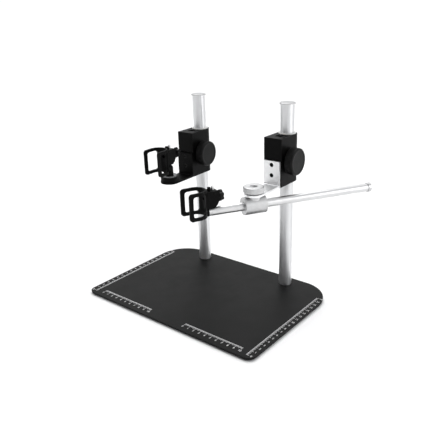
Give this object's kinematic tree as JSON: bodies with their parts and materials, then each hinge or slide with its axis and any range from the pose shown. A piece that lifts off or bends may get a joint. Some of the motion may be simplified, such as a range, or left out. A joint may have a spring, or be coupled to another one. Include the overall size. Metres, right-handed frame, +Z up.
{
  "type": "twin pole retort stand",
  "caption": "Bench stand with a flat ruled base, upright poles, sliding carriages with focus knobs, a cross rod and clips that hold slim barrels.",
  "frame": {"origin": "centre of the underside of the base, on the bench", "axes": "+X to the right along the front edge, +Y towards the poles at the rear, +Z up along the poles"},
  "size_m": [0.3439, 0.2796, 0.291],
  "materials": {
    "charcoal_paint": "fine satin powder coat",
    "mat_rubber": "matt",
    "satin_pole": "satin drawn tube finish",
    "bright_cap": "turned bright",
    "zinc_steel": "zinc plated",
    "black_anodised": "satin black anodised",
    "white_nylon": "natural nylon",
    "bronze": "sintered bronze",
    "tyre_rubber": "matt",
    "black_steel": "black oxide",
    "knob_plastic": "fine moulded texture",
    "silver_bracket": "silver anodised",
    "blasted_silver": "bead blasted",
    "silver_rod": "satin anodised",
    "clip_plastic": "moulded, slight sheen"
  },
  "bodies": {
    "base": {"base_plate": "charcoal_paint", "rubber_mat": "mat_rubber", "left_pole": "satin_pole", "right_pole": "satin_pole", "pole_caps": "bright_cap", "pole_screws": "zinc_steel"},
    "left_slider": {"left_upper_bush": "white_nylon", "left_lower_bush": "white_nylon"},
    "left_carriage": {"left_carriage_block": "black_anodised", "left_shaft_bushes": "bronze", "left_tension_screw": "black_steel", "left_brake_pad": "white_nylon", "left_bracket": "black_anodised", "left_bracket_screws": "black_steel"},
    "left_drive": {"left_drive_shaft": "zinc_steel", "left_drive_wheel": "bronze", "left_wheel_tyre": "tyre_rubber", "left_shaft_clip": "black_steel", "left_focus_knob": "knob_plastic", "left_knob_grub_screw": "black_steel"},
    "left_post": {"left_swivel_washer": "white_nylon", "left_swivel_post": "black_anodised", "left_post_ring": "zinc_steel", "left_post_screw": "black_steel", "left_clip_stud": "zinc_steel"},
    "left_clip": {"left_barrel_clip": "clip_plastic", "left_clip_pin": "zinc_steel"},
    "left_thumbscrew": {"left_thumbscrew_knob": "knob_plastic", "left_thumbscrew_stem": "black_steel"},
    "right_slider": {"right_upper_bush": "white_nylon", "right_lower_bush": "white_nylon"},
    "right_carriage": {"right_carriage_block": "black_anodised", "right_shaft_bushes": "bronze", "right_tension_screw": "black_steel", "right_brake_pad": "white_nylon", "right_bracket": "silver_bracket", "right_bracket_screws": "black_steel", "clamp_washer": "zinc_steel"},
    "right_drive": {"right_drive_shaft": "zinc_steel", "right_drive_wheel": "bronze", "right_wheel_tyre": "tyre_rubber", "right_shaft_clip": "black_steel", "right_focus_knob": "knob_plastic", "right_knob_grub_screw": "black_steel"},
    "clamp_knob_set": {"clamp_knob": "blasted_silver", "clamp_stud": "zinc_steel"},
    "cross_clamp": {"clamp_thrust_washer": "white_nylon", "cross_clamp_body": "blasted_silver"},
    "rod": {"cross_rod": "silver_rod", "rod_end_cap": "bright_cap", "rod_elbow": "blasted_silver", "right_clip_stud": "zinc_steel"},
    "right_clip": {"right_barrel_clip": "clip_plastic", "right_clip_pin": "zinc_steel"},
    "right_thumbscrew": {"right_thumbscrew_knob": "knob_plastic", "right_thumbscrew_stem": "black_steel"}
  },
  "joints": [
    {"name": "left_height", "type": "slide", "parent": "base", "child": "left_slider", "axis": [0, 0, 1], "range_m": [-0.155, 0.048]},
    {"name": "left_swing", "type": "hinge", "parent": "left_slider", "child": "left_carriage", "pos_m": [-0.086, 0.09135, 0.166], "axis": [0, 0, 1], "range_deg": [-60, 60]},
    {"name": "left_focus_knob_turn", "type": "hinge", "parent": "left_carriage", "child": "left_drive", "pos_m": [-0.08511, 0.07432, 0.201], "axis": [0.9986, 0.0523, 0], "continuous": true},
    {"name": "left_post_swivel", "type": "hinge", "parent": "left_carriage", "child": "left_post", "pos_m": [-0.08176, 0.01046, 0.169], "axis": [0, 0, 1], "range_deg": [-90, 90]},
    {"name": "left_clip_roll", "type": "hinge", "parent": "left_post", "child": "left_clip", "pos_m": [-0.08145, 0.00447, 0.189], "axis": [0.0523, -0.9986, 0], "range_deg": [-90, 90]},
    {"name": "left_thumbscrew_turn", "type": "hinge", "parent": "left_clip", "child": "left_thumbscrew", "pos_m": [-0.08251, 0.02474, 0.2095], "axis": [0.0523, -0.9986, 0], "range_deg": [-360, 1080]},
    {"name": "right_height", "type": "slide", "parent": "base", "child": "right_slider", "axis": [0, 0, 1], "range_m": [-0.138, 0.038]},
    {"name": "right_swing", "type": "hinge", "parent": "right_slider", "child": "right_carriage", "pos_m": [0.0806, 0.09135, 0.177], "axis": [0, 0, 1], "range_deg": [-25, 60]},
    {"name": "right_focus_knob_turn", "type": "hinge", "parent": "right_carriage", "child": "right_drive", "pos_m": [0.08096, 0.0743, 0.212], "axis": [0.9998, 0.0209, 0], "continuous": true},
    {"name": "clamp_knob_turn", "type": "hinge", "parent": "right_carriage", "child": "clamp_knob_set", "pos_m": [0.0824, 0.00537, 0.182], "axis": [0, 0, 1], "range_deg": [-180, 540]},
    {"name": "clamp_swivel", "type": "hinge", "parent": "right_carriage", "child": "cross_clamp", "pos_m": [0.0824, 0.00537, 0.163], "axis": [0, 0, 1], "range_deg": [-100, 20]},
    {"name": "rod_slide", "type": "slide", "parent": "cross_clamp", "child": "rod", "axis": [0.5165, 0.8563, 0], "range_m": [-0.155, 0.02]},
    {"name": "right_clip_roll", "type": "hinge", "parent": "rod", "child": "right_clip", "pos_m": [0.0481, -0.05327, 0.163], "axis": [-0.3795, -0.9252, 0], "range_deg": [-90, 90]},
    {"name": "right_thumbscrew_turn", "type": "hinge", "parent": "right_clip", "child": "right_thumbscrew", "pos_m": [0.05391, -0.03911, 0.1835], "axis": [-0.3795, -0.9252, 0], "range_deg": [-360, 1080]}
  ],
  "couplings": [
    {"joint": "left_focus_knob_turn", "follows": "left_height", "rad_per_m": -142.86},
    {"joint": "right_focus_knob_turn", "follows": "right_height", "rad_per_m": -142.86}
  ]
}
